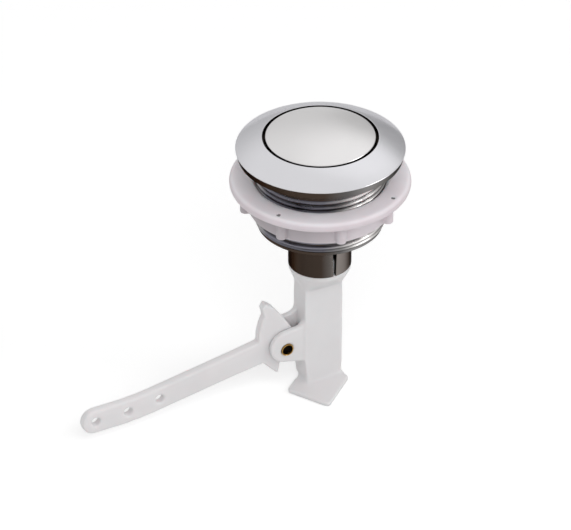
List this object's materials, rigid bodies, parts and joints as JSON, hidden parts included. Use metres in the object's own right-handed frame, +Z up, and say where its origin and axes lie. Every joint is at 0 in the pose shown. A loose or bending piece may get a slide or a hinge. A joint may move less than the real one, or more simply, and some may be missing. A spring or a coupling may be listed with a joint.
{
  "type": "cistern push button",
  "caption": "Round chromed push button for a toilet cistern lid, with a lock nut and a hinged lever that lifts the flush chain.",
  "frame": {"origin": "on the button's axis, on the plane where the bezel seats on the cistern lid", "axes": "+Z up out of the lid along the button's axis, -X along the lever's long arm"},
  "size_m": [0.1596, 0.0806, 0.1316],
  "materials": {
    "bezel_chrome": "bright chrome plate on moulded plastic",
    "tube_dark_plate": "dark polished plate",
    "button_chrome": "bright chrome plate on moulded plastic",
    "plunger_white": "natural white moulded plastic",
    "spring_steel": "bright drawn stainless wire",
    "nut_plastic": "milky white moulded plastic",
    "frame_white": "satin white moulded plastic",
    "pin_brass": "drawn brass tube with rolled ends",
    "lever_white": "satin white moulded plastic"
  },
  "bodies": {
    "body": {"bezel": "bezel_chrome", "inner_tube": "tube_dark_plate", "return_spring": "spring_steel", "frame": "frame_white", "pivot_pin": "pin_brass"},
    "button": {"button_cap": "button_chrome", "plunger": "plunger_white"},
    "lever": {"lever": "lever_white"},
    "nut": {"lock_nut": "nut_plastic"}
  },
  "joints": [
    {"name": "button_press", "type": "slide", "parent": "body", "child": "button", "axis": [0, 0, -1], "range_m": [0, 0.0095], "stiffness_N_per_m": 300, "springref_m": -0.01, "deforming": ["return_spring"]},
    {"name": "lever_swing", "type": "hinge", "parent": "body", "child": "lever", "pos_m": [-0.019, 0, -0.0961], "axis": [0, 1, 0], "range_deg": [0, 28.1]},
    {"name": "nut_travel", "type": "slide", "parent": "body", "child": "nut", "axis": [0, 0, 1], "range_m": [-0.006, 0.011]}
  ],
  "couplings": [
    {"joint": "lever_swing", "follows": "button_press", "rad_per_m": 51.575}
  ]
}
